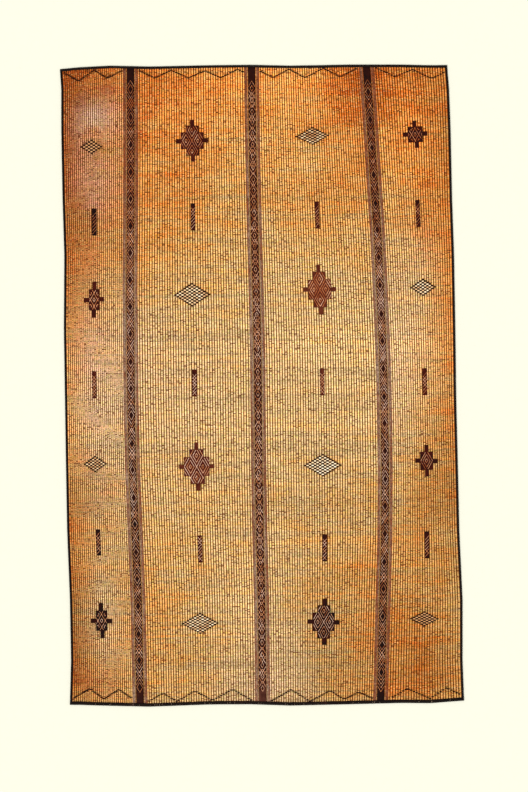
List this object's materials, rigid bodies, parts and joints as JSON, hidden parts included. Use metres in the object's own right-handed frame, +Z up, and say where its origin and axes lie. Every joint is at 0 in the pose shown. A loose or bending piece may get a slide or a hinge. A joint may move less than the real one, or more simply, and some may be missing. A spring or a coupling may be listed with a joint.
{
  "type": "reed mat",
  "caption": "Flat floor mat of reeds tied by lengthwise leather thongs, with laced leather bands, stepped and open leather motifs and a folded leather edge.",
  "frame": {"origin": "middle of the mat's outline on the surface it lies on", "axes": "+X across the mat to the picture's right, +Y along the mat to the picture's top, +Z up out of the face with the leather"},
  "size_m": [1.858, 2.952, 0.0056],
  "materials": {
    "reed": "dry reed with a soft sheen",
    "binding_leather": "near-black goatskin, dull",
    "band_leather": "maroon goatskin with tan laces, dull",
    "flank_leather": "grey-brown goatskin, worn",
    "medallion_leather": "maroon goatskin with tan laces, dull",
    "lace_leather": "dark brown goatskin lace"
  },
  "bodies": {
    "root": {"reed_ground": "reed", "binding_left": "binding_leather", "binding_right": "binding_leather", "binding_top": "binding_leather", "binding_bottom": "binding_leather", "band_left": "band_leather", "flank_left_a": "flank_leather", "flank_left_b": "flank_leather", "band_middle": "band_leather", "flank_middle_a": "flank_leather", "flank_middle_b": "flank_leather", "band_right": "band_leather", "flank_right_a": "flank_leather", "flank_right_b": "flank_leather", "medallion_1": "medallion_leather", "medallion_2": "medallion_leather", "medallion_3": "medallion_leather", "medallion_4": "medallion_leather", "medallion_5": "medallion_leather", "medallion_6": "medallion_leather", "medallion_7": "medallion_leather", "medallion_8": "medallion_leather", "lattice_1": "lace_leather", "lattice_2": "lace_leather", "lattice_3": "lace_leather", "lattice_4": "lace_leather", "lattice_5": "lace_leather", "lattice_6": "lace_leather", "lattice_7": "lace_leather", "lattice_8": "lace_leather", "bar_1": "medallion_leather", "bar_2": "medallion_leather", "bar_3": "medallion_leather", "bar_4": "medallion_leather", "bar_5": "medallion_leather", "bar_6": "medallion_leather", "bar_7": "medallion_leather", "bar_8": "medallion_leather", "bar_9": "medallion_leather", "bar_10": "medallion_leather", "bar_11": "medallion_leather", "bar_12": "medallion_leather", "zigzag_top_1": "lace_leather", "zigzag_top_2": "lace_leather", "zigzag_top_3": "lace_leather", "zigzag_top_4": "lace_leather", "zigzag_bottom_1": "lace_leather", "zigzag_bottom_2": "lace_leather", "zigzag_bottom_3": "lace_leather", "zigzag_bottom_4": "lace_leather"}
  },
  "joints": []
}
